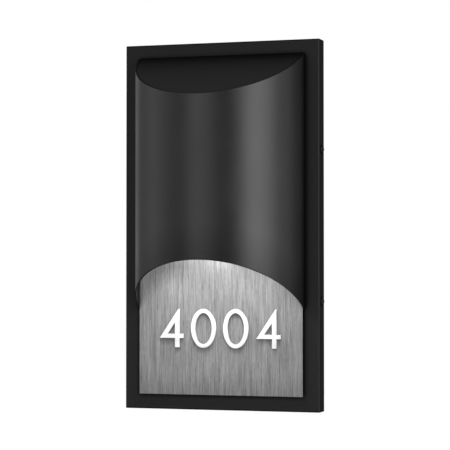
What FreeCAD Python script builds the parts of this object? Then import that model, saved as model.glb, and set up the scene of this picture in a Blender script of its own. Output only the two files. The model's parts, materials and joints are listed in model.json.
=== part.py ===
# Illuminated house number sign: a shallow pan with a half-elliptical hood over a raised number plate.
# Millimetres. X points to the right as seen from the street, Y into the wall, Z up.
# The origin is the middle of the face that lies on the wall.
import math
import os

import FreeCAD
import Part
import Sketcher

doc = FreeCAD.newDocument("house_number_sign")

# ---------------------------------------------------------------- driving dimensions

SIZES = {
    # pan: folded sheet box, open to the wall
    "pan_width": 197,
    "pan_height": 356,
    "pan_depth": 16.5,
    "pan_sheet": 1.5,
    "pan_front_radius": 1.6,
    "pan_corner_radius": 0.8,
    "rim_gap": 0.5,
    "notch_width": 4.6,
    "weep_width": 8,
    "weep_depth": 3,
    "weep_spacing": 120,
    # gasket and wall bracket
    "gasket_thickness": 2,
    "gasket_margin": 1.5,
    "gasket_window": 124,
    "bracket_height": 180,
    "bracket_sheet": 1.5,
    "bracket_clearance": 0.3,
    "tab_height": 18,
    "tab_reach": 12,
    "collar_radius": 3.6,
    "collar_length": 1.5,
    "wire_hole_radius": 11,
    "slot_spacing": 88.9,
    "slot_width": 5.2,
    "slot_length": 14,
    "bushing_bore": 8.5,
    "bushing_flange": 13.5,
    "bushing_flange_thickness": 1.2,
    "bushing_lip": 0.6,
    "bushing_lip_thickness": 1.3,
    "ground_screw_x": 30,
    "ground_screw_drop": 28,
    "ground_screw_length": 3.4,
    "ground_head_radius": 4.4,
    "ground_head_height": 2.6,
    "ground_washer_height": 0.9,
    "ground_hex_radius": 3.5,
    "ground_groove_depth": 1.3,
    # side screws
    "side_screw_margin": 17.4,
    "side_screw_setback": 8.5,
    "screw_radius": 2,
    "screw_head_radius": 4,
    "screw_head_height": 2.2,
    "side_screw_length": 8,
    "bore_clearance": 0.05,
    "screw_recess_width": 1,
    "screw_recess_span": 4.4,
    "screw_recess_depth": 1.2,
    # hood: rolled sheet with inward feet and a sloping lid
    "shade_width": 168.1,
    "shade_reach": 73.3,
    "shade_sheet": 1,
    "shade_top_margin": 12.9,
    "shade_drop": 81.2,
    "cap_angle": 30.7,
    "arch_angle": 33.6,
    "foot_width": 12,
    "foot_setback": 8,
    "cap_sheet": 1.5,
    "cap_seam": 0.3,
    "rivet_top_drop": 25.1,
    "rivet_pitch": 66,
    "rivet_radius": 1.6,
    "rivet_head_radius": 3.2,
    "rivet_head_height": 1.1,
    "rivet_tail_radius": 2.4,
    "rivet_tail_length": 1.6,
    # number plate, its pad and the numbers
    "pad_thickness": 2,
    "pad_inset": 0.6,
    "pad_gap": 0.5,
    "plate_thickness": 1,
    "plate_gap": 0.4,
    "plate_margin": 14.8,
    "plate_top_drop": 14,
    "plate_corner_radius": 0.8,
    "digit_height": 37.4,
    "digit_thickness": 2,
    "digit_pitch": 32.7,
    "digit_drop": 98.95,
    "digit_stroke": 4.4,
    "digit_edge": 0.25,
    "four_stem": 20.2,
    "four_overhang": 4.1,
    "four_bar": 9,
    "four_apex": 0.9,
    "zero_width": 25.2,
    "zero_overshoot": 0.25,
    "zero_stroke": 4.1,
    # lamp bracket, holder and nipple
    "lamp_offset": 36,
    "shelf_height": 88,
    "shelf_overhang": 17,
    "lamp_bracket_width": 36,
    "lamp_bracket_sheet": 1.5,
    "lamp_bracket_foot": 26,
    "foot_screw_spacing": 22,
    "foot_screw_drop": 17,
    "foot_screw_length": 8,
    "nut_circumradius": 4,
    "nut_height": 3.2,
    "socket_radius": 19,
    "socket_neck_radius": 16,
    "socket_neck_length": 8,
    "socket_slope_length": 4.5,
    "socket_length": 44,
    "socket_bore": 14,
    "socket_floor": 20,
    "chamber_radius": 12,
    "chamber_top": 6,
    "chamber_floor": 14,
    "socket_shell_sheet": 0.5,
    "socket_shell_clearance": 0.1,
    "socket_shell_lip": 9,
    "socket_shell_setback": 1.5,
    "contact_radius": 4,
    "contact_plate": 0.6,
    "contact_post_radius": 2,
    "contact_clinch_radius": 3.2,
    "nipple_radius": 5,
    "nipple_bore": 3.5,
    "nipple_rise": 9.5,
    "locknut_circumradius": 8.5,
    "locknut_height": 3,
    # lamp with a medium screw base
    "lamp_seat": 22,
    "lamp_length": 88,
    "lamp_contact_radius": 4.8,
    "lamp_contact_tip": 4.1,
    "lamp_contact_height": 1.2,
    "insulator_tip": 5.3,
    "insulator_height": 3.3,
    "base_radius": 13.1,
    "base_ridge": 0.7,
    "base_wall": 0.4,
    "base_length": 25,
    "base_pitch": 3.63,
    "base_lead_in": 0.9,
    "ridge_flank": 1.27,
    "ridge_crest": 0.55,
    "collar_neck_radius": 13.4,
    "lamp_collar_radius": 22,
    "lamp_collar_length": 28,
    "lamp_collar_round": 2,
    "globe_radius": 24,
    "globe_wall": 1.2,
    # wiring
    "lead_radius": 1.2,
    "lead_spacing": 3,
    "lead_height": 112,
    "lead_plane": 7.5,
    "lead_bend": 14,
    "lead_tight_bend": 4.4,
    "lead_stop": 1,
    "ground_lead_knee": 10.5,
    "grommet_hole": 6,
    "grommet_bore": 3.2,
    "grommet_flange": 8,
    "grommet_lip": 1.5,
    "block_width": 30,
    "block_height": 17,
    "block_depth": 9.5,
    "block_rise": 38,
    "block_ear": 7,
    "block_ear_thickness": 3,
    "block_ear_height": 8,
    "pole_pitch": 8,
    "entry_radius": 1.6,
    "well_radius": 2.2,
    "well_rise": 4.25,
    "terminal_screw_radius": 2,
    "terminal_screw_height": 1.8,
    "small_screw_radius": 1.5,
    "small_screw_length": 6,
    "small_screw_head_radius": 2.8,
    "small_screw_head_height": 1.8,
    "small_screw_recess_width": 0.7,
    "small_screw_recess_span": 2.8,
    "small_screw_recess_depth": 0.9,
    "pan_ground_x": 44,
    "pan_ground_rise": 62,
    "pan_ground_length": 6,
    "ring_radius": 4.2,
    "ring_sheet": 0.8,
    "barrel_length": 7,
    "barrel_radius": 1.9,
}

# Counts and shares that aren't sizes, and the lengths that only help the building.
RIVETS_PER_SIDE = 3
DOMED_SHARE = 0.6
OVERREACH = 1.2
NEAR = 1e-4

sheet = doc.addObject("Spreadsheet::Sheet", "dims")
for row, (alias, value) in enumerate(SIZES.items(), start=1):
    sheet.set(f"A{row}", alias)
    sheet.set(f"B{row}", str(value))
    sheet.setAlias(f"B{row}", alias)
doc.recompute()

# Places that several pieces share, as expressions of the sheet's cells.
RIM = "(-dims.rim_gap)"
FRONT = "(-dims.rim_gap - dims.pan_depth)"
PAN_BACK = f"({FRONT} + dims.pan_sheet)"
BRACKET_BACK = "(-dims.gasket_thickness)"
BRACKET_FRONT = "(-dims.gasket_thickness - dims.bracket_sheet)"
PAN_SIDE = "(dims.pan_width / 2)"
TAB_OUTSIDE = "(dims.pan_width / 2 - dims.pan_sheet - dims.bracket_clearance)"
TAB_INSIDE = f"({TAB_OUTSIDE} - dims.bracket_sheet)"
SIDE_SCREW_Y = f"({FRONT} + dims.side_screw_setback)"
SIDE_SCREW_Z = "(dims.bracket_height / 2 - dims.side_screw_margin)"
SHADE_HALF = "(dims.shade_width / 2)"
SHADE_TOP = "(dims.pan_height / 2 - dims.shade_top_margin)"
SHADE_BOTTOM = "(-dims.shade_drop)"
FOOT_INSIDE = f"({SHADE_HALF} - dims.shade_sheet - dims.foot_width)"
PLATE_BACK = f"({FRONT} - dims.pad_thickness)"
PLATE_FRONT = f"({PLATE_BACK} - dims.plate_thickness)"
PLATE_HALF = f"({SHADE_HALF} - dims.shade_sheet - dims.plate_gap)"
PLATE_TOP = "(-dims.plate_top_drop)"
PLATE_BOTTOM = "(-dims.pan_height / 2 + dims.plate_margin)"
LAMP_Y = f"({FRONT} - dims.lamp_offset)"
SHELF = "dims.shelf_height"
LAMP_TOP = f"({SHELF} - dims.lamp_seat)"
FOOT_SCREW_Z = f"({SHELF} - dims.foot_screw_drop)"
LEAD_Y = f"({FRONT} + dims.lead_plane)"
BLOCK_TOP = "(dims.block_rise + dims.block_height / 2)"
BLOCK_BACK = f"({PAN_BACK} + dims.block_depth)"
WELL_FLOOR = f"({LEAD_Y} + dims.lead_radius)"

parts = []


def amount(expression):
    """The present value of an expression of the sheet's cells."""
    value = sheet.evalExpression(expression)
    return float(getattr(value, "Value", value))


def finish(item, label):
    """Names a finished sub-part and lists it for the files."""
    item.Label = label
    parts.append(item)
    return item


def bind(item, **expressions):
    """Ties properties to expressions, x, y and z being the place."""
    places = {"x": "Placement.Base.x", "y": "Placement.Base.y", "z": "Placement.Base.z"}
    for name, expression in expressions.items():
        item.setExpression(places.get(name, name), expression)
    return item


# ---------------------------------------------------------------- sketches and bodies


def new_body(name):
    return doc.addObject("PartDesign::Body", name + "_body")


def new_sketch(body, name, role, level="0"):
    """A sketch on one of the body's origin planes, moved along its normal to a level."""
    plane = next(item for item in body.Origin.OriginFeatures if item.Role == role)
    sketch = body.newObject("Sketcher::SketchObject", name)
    sketch.AttachmentSupport = (plane, [""])
    sketch.MapMode = "FlatFace"
    sketch.setExpression("AttachmentOffset.Base.z", level)
    return sketch


def front_sketch(body, name, y="0"):
    """A sketch seen from the street, with X and Z as its axes, in the plane at y."""
    return new_sketch(body, name, "XZ_Plane", f"-({y})")


def side_sketch(body, name):
    """A sketch in the middle plane, with Y and Z as its axes."""
    return new_sketch(body, name, "YZ_Plane")


def hold(sketch, kind, geometry, point, expression):
    """Fixes one coordinate of a point of the sketch to an expression."""
    index = sketch.addConstraint(Sketcher.Constraint(kind, -1, 1, geometry, point, amount(expression)))
    sketch.setExpression(f"Constraints[{index}]", expression)


def polygon(sketch, points):
    """A closed outline of straight lines through points given as expressions."""
    first = sketch.GeometryCount
    corners = [FreeCAD.Vector(amount(u), amount(v), 0) for u, v in points]
    count = len(corners)
    for k in range(count):
        sketch.addGeometry(Part.LineSegment(corners[k], corners[(k + 1) % count]), False)
    for k, (u, v) in enumerate(points):
        following = first + (k + 1) % count
        sketch.addConstraint(Sketcher.Constraint("Coincident", first + k, 2, following, 1))
        hold(sketch, "DistanceX", first + k, 1, u)
        hold(sketch, "DistanceY", first + k, 1, v)


def rectangle(sketch, left, right, bottom, top):
    polygon(sketch, [(left, bottom), (right, bottom), (right, top), (left, top)])


def circle(sketch, u, v, radius):
    centre = FreeCAD.Vector(amount(u), amount(v), 0)
    normal = FreeCAD.Vector(0, 0, 1)
    index = sketch.addGeometry(Part.Circle(centre, normal, amount(radius)), False)
    hold(sketch, "DistanceX", index, 3, u)
    hold(sketch, "DistanceY", index, 3, v)
    tie = sketch.addConstraint(Sketcher.Constraint("Radius", index, amount(radius)))
    sketch.setExpression(f"Constraints[{tie}]", radius)


def slot(sketch, u, v, length, width):
    """A level slot with round ends, as two arcs joined by lines, its length from end to end."""
    reach = f"(({length}) - ({width})) / 2"
    radius = f"({width}) / 2"
    arcs = []
    for sign, start in (("+", -math.pi / 2), ("-", math.pi / 2)):
        middle = f"({u}) {sign} {reach}"
        centre = FreeCAD.Vector(amount(middle), amount(v), 0)
        round_end = Part.Circle(centre, FreeCAD.Vector(0, 0, 1), amount(radius))
        arc = sketch.addGeometry(Part.ArcOfCircle(round_end, start, start + math.pi), False)
        hold(sketch, "DistanceX", arc, 3, middle)
        hold(sketch, "DistanceY", arc, 3, v)
        arcs.append(arc)
    right, left = arcs
    points = [sketch.getPoint(right, 2), sketch.getPoint(left, 1)]
    over = sketch.addGeometry(Part.LineSegment(*points), False)
    points = [sketch.getPoint(left, 2), sketch.getPoint(right, 1)]
    under = sketch.addGeometry(Part.LineSegment(*points), False)
    for line, start, end in ((over, right, left), (under, left, right)):
        sketch.addConstraint(Sketcher.Constraint("Tangent", start, 2, line, 1))
        sketch.addConstraint(Sketcher.Constraint("Tangent", line, 2, end, 1))
    tie = sketch.addConstraint(Sketcher.Constraint("Radius", right, amount(radius)))
    sketch.setExpression(f"Constraints[{tie}]", radius)


def pad(body, sketch, length, both_ways=False, backwards=False):
    """Material from the sketch along its normal, or half to each side."""
    feature = body.newObject("PartDesign::Pad", sketch.Name + "_pad")
    feature.Profile = sketch
    feature.setExpression("Length", length)
    feature.Midplane = both_ways
    feature.Reversed = backwards
    body.Tip = feature
    return feature


def pocket(body, sketch, length=None, along_normal=False):
    """A cut of a given length, or right through the body both ways."""
    feature = body.newObject("PartDesign::Pocket", sketch.Name + "_pocket")
    feature.Profile = sketch
    if length is None:
        feature.Type = "ThroughAll"
        feature.Midplane = True
    else:
        feature.setExpression("Length", length)
        feature.Reversed = along_normal
    body.Tip = feature
    return feature


def turned(name, points, place_y=LAMP_Y, place_z="0"):
    """A body turned about its own Z axis from an outline of radius and height."""
    body = new_body(name)
    sketch = new_sketch(body, name + "_profile", "XZ_Plane")
    polygon(sketch, points)
    feature = body.newObject("PartDesign::Revolution", name + "_turn")
    feature.Profile = sketch
    feature.ReferenceAxis = (sketch, ["V_Axis"])
    feature.Angle = 360
    body.Tip = feature
    return bind(body, y=place_y, z=place_z)


def edges_where(shape, wanted):
    """Names of the edges that pass a test."""
    return [f"Edge{index}" for index, edge in enumerate(shape.Edges, start=1) if wanted(edge)]


def runs_deep(edge):
    """Whether an edge runs from the wall towards the street."""
    return abs(edge.Vertexes[0].Point.y - edge.Vertexes[-1].Point.y) > NEAR


def lies_at(axis, level):
    """A test for edges that lie in the plane at a level of one axis."""
    place = amount(level)
    return lambda edge: all(abs(getattr(end.Point, axis) - place) < NEAR for end in edge.Vertexes)


def round_edges(body, name, wanted, radius):
    """A fillet on the edges that pass a test, over the body's present tip."""
    doc.recompute()
    base = body.Tip
    feature = body.newObject("PartDesign::Fillet", name)
    feature.Base = (base, edges_where(base.Shape, wanted))
    feature.setExpression("Radius", radius)
    body.Tip = feature


# ---------------------------------------------------------------- primitives and booleans


def box(name, left, right, near, far, bottom, top):
    """A box between places given as expressions: X, Y and Z from and to."""
    item = doc.addObject("Part::Box", name)
    bind(item, Length=f"({right}) - ({left})", Width=f"({far}) - ({near})", Height=f"({top}) - ({bottom})")
    return bind(item, x=left, y=near, z=bottom)


def cylinder(name, radius, bottom, top, x="0", y="0"):
    """An upright cylinder between two heights."""
    item = doc.addObject("Part::Cylinder", name)
    bind(item, Radius=radius, Height=f"({top}) - ({bottom})")
    return bind(item, x=x, y=y, z=bottom)


def cut(name, base, tools):
    """The base without its tools."""
    tool = tools[0] if len(tools) == 1 else fuse(name + "_tools", tools)
    item = doc.addObject("Part::Cut", name)
    item.Base = base
    item.Tool = tool
    return item


def fuse(name, items):
    item = doc.addObject("Part::MultiFuse", name)
    item.Shapes = items
    return item


def common(name, items):
    item = doc.addObject("Part::MultiCommon", name)
    item.Shapes = items
    return item


def group(name, items):
    """Separate solids kept together as one node."""
    item = doc.addObject("Part::Compound", name)
    item.Links = items
    return item


TURNS = {
    "street": (FreeCAD.Vector(1, 0, 0), 90),
    "wall": (FreeCAD.Vector(1, 0, 0), -90),
    "right": (FreeCAD.Vector(0, 1, 0), 90),
    "left": (FreeCAD.Vector(0, 1, 0), -90),
}


def aim(item, direction, x, y, z):
    """Points the item's own Z axis in a direction and puts its origin at a place."""
    axis, angle = TURNS[direction]
    item.Placement = FreeCAD.Placement(FreeCAD.Vector(0, 0, 0), FreeCAD.Rotation(axis, angle))
    return bind(item, x=x, y=y, z=z)


def dome(name, radius, height, bottom="0"):
    """A low domed disc: the cap of a sphere as wide as the disc, on a short straight side."""
    rise = f"({height}) * {DOMED_SHARE}"
    sphere_radius = f"(({radius}) ^ 2 + ({rise}) ^ 2) / (2 * ({rise}))"
    disc = cylinder(name + "_disc", radius, bottom, f"({bottom}) + ({height})")
    ball = doc.addObject("Part::Sphere", name + "_ball")
    bind(ball, Radius=sphere_radius, z=f"({bottom}) + ({height}) - {sphere_radius}")
    return common(name, [disc, ball])


def screw(name, size, length):
    """A cross-recess screw of a named size: head above its own origin, shank below, along Z."""
    height = f"dims.{size}_head_height"
    shank = cylinder(name + "_shank", f"dims.{size}_radius", f"-({length})", "0")
    head = dome(name + "_head", f"dims.{size}_head_radius", height)
    half = f"dims.{size}_recess_span / 2"
    side = f"dims.{size}_recess_width / 2"
    low = f"{height} - dims.{size}_recess_depth"
    bars = [
        box(name + "_bar", f"-{half}", half, f"-{side}", side, low, height),
        box(name + "_crossbar", f"-{side}", side, f"-{half}", half, low, height),
    ]
    return cut(name, fuse(name + "_solid", [shank, head]), bars)


def hexagon(name, circumradius, bottom, top):
    item = doc.addObject("Part::Prism", name)
    item.Polygon = 6
    bind(item, Circumradius=circumradius, Height=f"({top}) - ({bottom})")
    return bind(item, z=bottom)


def ellipse_prism(name, half_width, reach, bottom, top):
    """An upright prism on an ellipse, its centre on the Z axis."""
    outline = doc.addObject("Part::Ellipse", name + "_outline")
    bind(outline, MajorRadius=f"max({half_width}; {reach})", MinorRadius=f"min({half_width}; {reach})")
    outline.setExpression("Placement.Rotation.Angle", f"{reach} > {half_width} ? 90 : 0")
    bind(outline, z=bottom)
    prism = doc.addObject("Part::Extrusion", name)
    prism.Base = outline
    prism.DirMode = "Custom"
    prism.Dir = FreeCAD.Vector(0, 0, 1)
    prism.Solid = True
    return bind(prism, LengthFwd=f"({top}) - ({bottom})")


# ---------------------------------------------------------------- wall side


def wall_gasket():
    """Foam ring between the bracket and the wall, its back on the wall."""
    outside = f"({TAB_OUTSIDE} - dims.gasket_margin)"
    height = "(dims.bracket_height / 2 - dims.gasket_margin)"
    window = "(dims.gasket_window / 2)"
    body = new_body("wall_gasket")
    sketch = front_sketch(body, "gasket_outline")
    rectangle(sketch, f"-{outside}", outside, f"-{height}", height)
    rectangle(sketch, f"-{window}", window, f"-{window}", window)
    pad(body, sketch, "dims.gasket_thickness")
    finish(body, "wall_gasket")


def wall_bracket():
    """Steel plate with four tabs bent forward along the sides of the pan, each with a tapped collar."""
    body = new_body("wall_bracket")
    half_height = "dims.bracket_height / 2"
    plate = front_sketch(body, "bracket_plate", BRACKET_BACK)
    rectangle(plate, f"-{TAB_OUTSIDE}", TAB_OUTSIDE, f"-{half_height}", half_height)
    pad(body, plate, "dims.bracket_sheet")
    tabs = front_sketch(body, "bracket_tabs", BRACKET_FRONT)
    for side in ("-", ""):
        for level in ("-", ""):
            low = f"{level}{SIDE_SCREW_Z} - dims.tab_height / 2"
            high = f"{level}{SIDE_SCREW_Z} + dims.tab_height / 2"
            rectangle(tabs, f"{side}{TAB_INSIDE}", f"{side}{TAB_OUTSIDE}", low, high)
    pad(body, tabs, "dims.tab_reach")
    for name, side, backwards in (("left_collars", "-", False), ("right_collars", "", True)):
        collars = new_sketch(body, name, "YZ_Plane", f"{side}{TAB_INSIDE}")
        for level in ("-", ""):
            circle(collars, SIDE_SCREW_Y, f"{level}{SIDE_SCREW_Z}", "dims.collar_radius")
        pad(body, collars, "dims.collar_length", backwards=backwards)
    taps = side_sketch(body, "tab_holes")
    for level in ("-", ""):
        circle(taps, SIDE_SCREW_Y, f"{level}{SIDE_SCREW_Z}", "dims.screw_radius + dims.bore_clearance")
    pocket(body, taps)
    holes = front_sketch(body, "bracket_holes")
    circle(holes, "0", "0", "dims.wire_hole_radius")
    circle(holes, "dims.ground_screw_x", "-dims.ground_screw_drop", "dims.screw_radius + dims.bore_clearance")
    slot(holes, "dims.slot_spacing / 2", "0", "dims.slot_length", "dims.slot_width")
    slot(holes, "-dims.slot_spacing / 2", "0", "dims.slot_length", "dims.slot_width")
    pocket(body, holes)
    finish(body, "wall_bracket")


def supply_bushing():
    """Snap bushing in the wire hole of the bracket, its flange on the front."""
    neck = "(dims.wire_hole_radius - dims.bore_clearance)"
    lip = "(dims.wire_hole_radius + dims.bushing_lip)"
    back = "(-dims.bushing_lip_thickness)"
    front = "(dims.bracket_sheet + dims.bushing_flange_thickness)"
    outline = [
        ("dims.bushing_bore", back),
        (neck, back),
        (lip, "0"),
        (neck, "0"),
        (neck, "dims.bracket_sheet"),
        ("dims.bushing_flange", "dims.bracket_sheet"),
        ("dims.bushing_flange", front),
        ("dims.bushing_bore", front),
    ]
    body = turned("supply_bushing", outline)
    finish(aim(body, "street", "0", BRACKET_BACK, "0"), "supply_bushing")


def ground_screw():
    """Hexagonal washer-head screw in the bracket for the supply's ground wire."""
    shank = cylinder("ground_shank", "dims.screw_radius", "-dims.ground_screw_length", "0")
    washer = cylinder("ground_washer", "dims.ground_head_radius", "0", "dims.ground_washer_height")
    head = hexagon("ground_head", "dims.ground_hex_radius", "0", "dims.ground_head_height")
    solid = fuse("ground_solid", [shank, washer, head])
    half = "dims.screw_recess_width / 2"
    low = "dims.ground_head_height - dims.ground_groove_depth"
    wide = "dims.ground_head_radius"
    groove = box("ground_groove", f"-{wide}", wide, f"-{half}", half, low, "dims.ground_head_height")
    item = cut("ground_screw_cut", solid, [groove])
    aim(item, "street", "dims.ground_screw_x", BRACKET_FRONT, "-dims.ground_screw_drop")
    finish(item, "ground_screw")


def side_screws():
    """Four screws through the notches of the pan into the tabs of the bracket."""
    for side, sign in (("left", "-"), ("right", "")):
        for level, place in (("top", ""), ("bottom", "-")):
            label = f"side_screw_{side}_{level}"
            item = screw(label + "_cut", "screw", "dims.side_screw_length")
            aim(item, side, f"{sign}{PAN_SIDE}", SIDE_SCREW_Y, f"{place}{SIDE_SCREW_Z}")
            finish(item, label)


# ---------------------------------------------------------------- housing


def pan_front_holes(body):
    """Holes through the front sheet for rivets, lamp bracket, grommet and wiring hardware."""
    holes = front_sketch(body, "pan_holes", FRONT)
    for x, z in rivet_places():
        circle(holes, x, z, "dims.rivet_radius + dims.bore_clearance")
    for x in foot_screw_places():
        circle(holes, x, FOOT_SCREW_Z, "dims.screw_radius + dims.bore_clearance")
    for x in ear_places():
        circle(holes, x, "dims.block_rise", "dims.small_screw_radius + dims.bore_clearance")
    circle(holes, "0", "dims.lead_height", "dims.grommet_hole")
    circle(holes, "dims.pan_ground_x", "dims.pan_ground_rise", "dims.screw_radius + dims.bore_clearance")
    pocket(body, holes)


def housing_pan():
    """Box of folded sheet with rounded front edges, open notches for the side screws, weep notches."""
    body = new_body("housing_pan")
    half_height = "dims.pan_height / 2"
    block = front_sketch(body, "pan_outline", RIM)
    rectangle(block, f"-{PAN_SIDE}", PAN_SIDE, f"-{half_height}", half_height)
    pad(body, block, "dims.pan_depth")
    round_edges(body, "pan_corners", runs_deep, "dims.pan_corner_radius")
    round_edges(body, "pan_front_edges", lies_at("y", FRONT), "dims.pan_front_radius")
    hollow = front_sketch(body, "pan_hollow", RIM)
    inside = f"({PAN_SIDE} - dims.pan_sheet)"
    inside_height = f"({half_height} - dims.pan_sheet)"
    rectangle(hollow, f"-{inside}", inside, f"-{inside_height}", inside_height)
    pocket(body, hollow, "dims.pan_depth - dims.pan_sheet", along_normal=True)
    pan_front_holes(body)
    notches = side_sketch(body, "pan_notches")
    length = f"2 * ({RIM} - {SIDE_SCREW_Y}) + dims.notch_width"
    for level in ("-", ""):
        slot(notches, RIM, f"{level}{SIDE_SCREW_Z}", length, "dims.notch_width")
    pocket(body, notches)
    weeps = front_sketch(body, "pan_weeps", RIM)
    for side in ("-", ""):
        middle = f"{side}dims.weep_spacing / 2"
        low = f"-{half_height}"
        high = f"-{half_height} + dims.pan_sheet"
        rectangle(weeps, f"{middle} - dims.weep_width / 2", f"{middle} + dims.weep_width / 2", low, high)
    pocket(body, weeps, "dims.weep_depth", along_normal=True)
    finish(body, "housing_pan")


def shade_side(name, high, low_edge, slope_low):
    """Side outline of the hood between two slopes, as a slab right across its width."""
    depth = f"(dims.shade_reach * {OVERREACH})"
    tip = f"({FRONT} - {depth})"
    profile = doc.addObject("Sketcher::SketchObject", name + "_profile")
    upright = FreeCAD.Rotation(FreeCAD.Vector(1, 1, 1), 120)
    profile.Placement = FreeCAD.Placement(FreeCAD.Vector(0, 0, 0), upright)
    points = [
        (FRONT, high),
        (tip, f"{high} - {depth} * tan(dims.cap_angle * 1 deg)"),
        (tip, f"{low_edge} + {depth} * {slope_low}"),
        (FRONT, low_edge),
    ]
    polygon(profile, points)
    slab = doc.addObject("Part::Extrusion", name)
    slab.Base = profile
    slab.DirMode = "Custom"
    slab.Dir = FreeCAD.Vector(1, 0, 0)
    slab.Solid = True
    slab.Symmetric = True
    return bind(slab, LengthFwd=f"dims.shade_width * {OVERREACH}")


def shade_prism(name, inset):
    """The elliptical section of the hood, smaller by an inset, over its whole height."""
    half = f"({SHADE_HALF} - ({inset}))"
    reach = f"(dims.shade_reach - ({inset}))"
    prism = ellipse_prism(name, half, reach, SHADE_BOTTOM, SHADE_TOP)
    return bind(prism, y=FRONT)


def rivet_places():
    """Places of the rivets in the feet of the hood."""
    middle = f"({FOOT_INSIDE} + dims.foot_width / 2)"
    places = []
    for side in ("-", ""):
        for k in range(RIVETS_PER_SIDE):
            places.append((f"{side}{middle}", f"{SHADE_TOP} - dims.rivet_top_drop - {k} * dims.rivet_pitch"))
    return places


def shade_shell():
    """Rolled half-elliptical hood with two feet turned inward onto the pan."""
    slab = shade_side("shade_slab", SHADE_TOP, SHADE_BOTTOM, "tan(dims.arch_angle * 1 deg)")
    blank = common("shade_blank", [shade_prism("shade_outside", "0"), slab])
    wide = f"({SHADE_HALF} - dims.shade_sheet)"
    foot_front = f"({FRONT} - dims.shade_sheet)"
    far_front = f"({FRONT} - dims.shade_reach)"
    before = box("shade_before", f"-{wide}", wide, far_front, foot_front, SHADE_BOTTOM, SHADE_TOP)
    hollow = common("shade_hollow", [shade_prism("shade_inside", "dims.shade_sheet"), before])
    between = box("shade_between", f"-{FOOT_INSIDE}", FOOT_INSIDE, foot_front, FRONT, SHADE_BOTTOM, SHADE_TOP)
    foot_top = f"({SHADE_TOP} - dims.foot_setback)"
    above = box("shade_above", f"-{wide}", wide, foot_front, FRONT, foot_top, SHADE_TOP)
    holes = []
    for k, (x, z) in enumerate(rivet_places()):
        hole = cylinder(f"shade_hole_{k}", "dims.rivet_radius + dims.bore_clearance", "0", "dims.shade_sheet")
        holes.append(aim(hole, "street", x, FRONT, z))
    finish(cut("shade_shell_cut", blank, [hollow, between, above] + holes), "shade_shell")


def shade_cap():
    """Flat sloping lid inside the rim of the hood, with a fine seam all round."""
    thick = "(dims.cap_sheet / cos(dims.cap_angle * 1 deg))"
    low_edge = f"({SHADE_TOP} - {thick})"
    slab = shade_side("cap_slab", SHADE_TOP, low_edge, "(-tan(dims.cap_angle * 1 deg))")
    prism = shade_prism("cap_outline", "dims.shade_sheet + dims.cap_seam")
    finish(common("shade_cap_common", [prism, slab]), "shade_cap")


def shade_rivets():
    """Blind rivets, their domes inside the hood and their tails behind the sheet of the pan."""
    rivets = []
    grip = "(dims.shade_sheet + dims.pan_sheet)"
    tail = f"({grip} + dims.rivet_tail_length)"
    for k, (x, z) in enumerate(rivet_places()):
        name = f"rivet_{k}"
        shank = cylinder(name + "_shank", "dims.rivet_radius", f"-{tail}", "0")
        head = dome(name + "_head", "dims.rivet_head_radius", "dims.rivet_head_height")
        bulb = cylinder(name + "_tail", "dims.rivet_tail_radius", f"-{tail}", f"-{grip}")
        rivet = fuse(name, [shank, head, bulb])
        rivets.append(aim(rivet, "street", x, f"{FRONT} - dims.shade_sheet", z))
    finish(group("shade_rivets_group", rivets), "shade_rivets")


def plate_pad():
    """Foam pad that lifts the number plate off the pan, narrower between the feet of the hood."""
    body = new_body("plate_pad")
    outer = f"({PLATE_HALF} - dims.pad_inset)"
    inner = f"({FOOT_INSIDE} - dims.pad_gap)"
    bottom = f"({PLATE_BOTTOM} + dims.pad_inset)"
    shoulder = f"({SHADE_BOTTOM} - dims.pad_gap)"
    top = f"({PLATE_TOP} - dims.pad_inset)"
    points = [
        (f"-{outer}", bottom),
        (outer, bottom),
        (outer, shoulder),
        (inner, shoulder),
        (inner, top),
        (f"-{inner}", top),
        (f"-{inner}", shoulder),
        (f"-{outer}", shoulder),
    ]
    sketch = front_sketch(body, "plate_pad_outline", FRONT)
    polygon(sketch, points)
    pad(body, sketch, "dims.pad_thickness")
    finish(body, "plate_pad")


def number_plate():
    """Thin flat plate on its pad, running up behind the lower edge of the hood."""
    body = new_body("number_plate")
    sketch = front_sketch(body, "number_plate_outline", PLATE_BACK)
    rectangle(sketch, f"-{PLATE_HALF}", PLATE_HALF, PLATE_BOTTOM, PLATE_TOP)
    pad(body, sketch, "dims.plate_thickness")
    round_edges(body, "number_plate_corners", runs_deep, "dims.plate_corner_radius")
    finish(body, "number_plate")


def digit_four(label, place):
    """Open figure of straight strokes: stem, crossbar and a slanting stroke up to a narrow apex."""
    stem_left = "(dims.four_stem - dims.digit_stroke)"
    bar_end = "(dims.four_stem + dims.four_overhang)"
    bar_top = "(dims.four_bar + dims.digit_stroke)"
    middle = f"({place} - {bar_end} / 2)"
    baseline = "(-dims.digit_drop - dims.digit_height / 2)"
    run = "(dims.four_stem - dims.four_apex)"
    rise = "(dims.digit_height - dims.four_bar)"
    slant = f"({rise} / {run})"
    shift = f"(dims.digit_stroke * sqrt(1 + {slant} ^ 2) / {slant})"
    outline = [
        ("0", "dims.four_bar"),
        (stem_left, "dims.four_bar"),
        (stem_left, "0"),
        ("dims.four_stem", "0"),
        ("dims.four_stem", "dims.four_bar"),
        (bar_end, "dims.four_bar"),
        (bar_end, bar_top),
        ("dims.four_stem", bar_top),
        ("dims.four_stem", "dims.digit_height"),
        (run, "dims.digit_height"),
    ]
    counter = [
        (f"dims.digit_stroke / {slant} + {shift}", bar_top),
        (stem_left, bar_top),
        (stem_left, f"dims.four_bar + ({stem_left} - {shift}) * {slant}"),
    ]
    body = new_body(label)
    sketch = front_sketch(body, label + "_outline", PLATE_FRONT)
    for points in (outline, counter):
        polygon(sketch, [(f"{middle} + {u}", f"{baseline} + {v}") for u, v in points])
    pad(body, sketch, "dims.digit_thickness")
    front_edges = lies_at("y", f"{PLATE_FRONT} - dims.digit_thickness")
    round_edges(body, label + "_edges", front_edges, "dims.digit_edge")
    finish(body, label)


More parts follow.
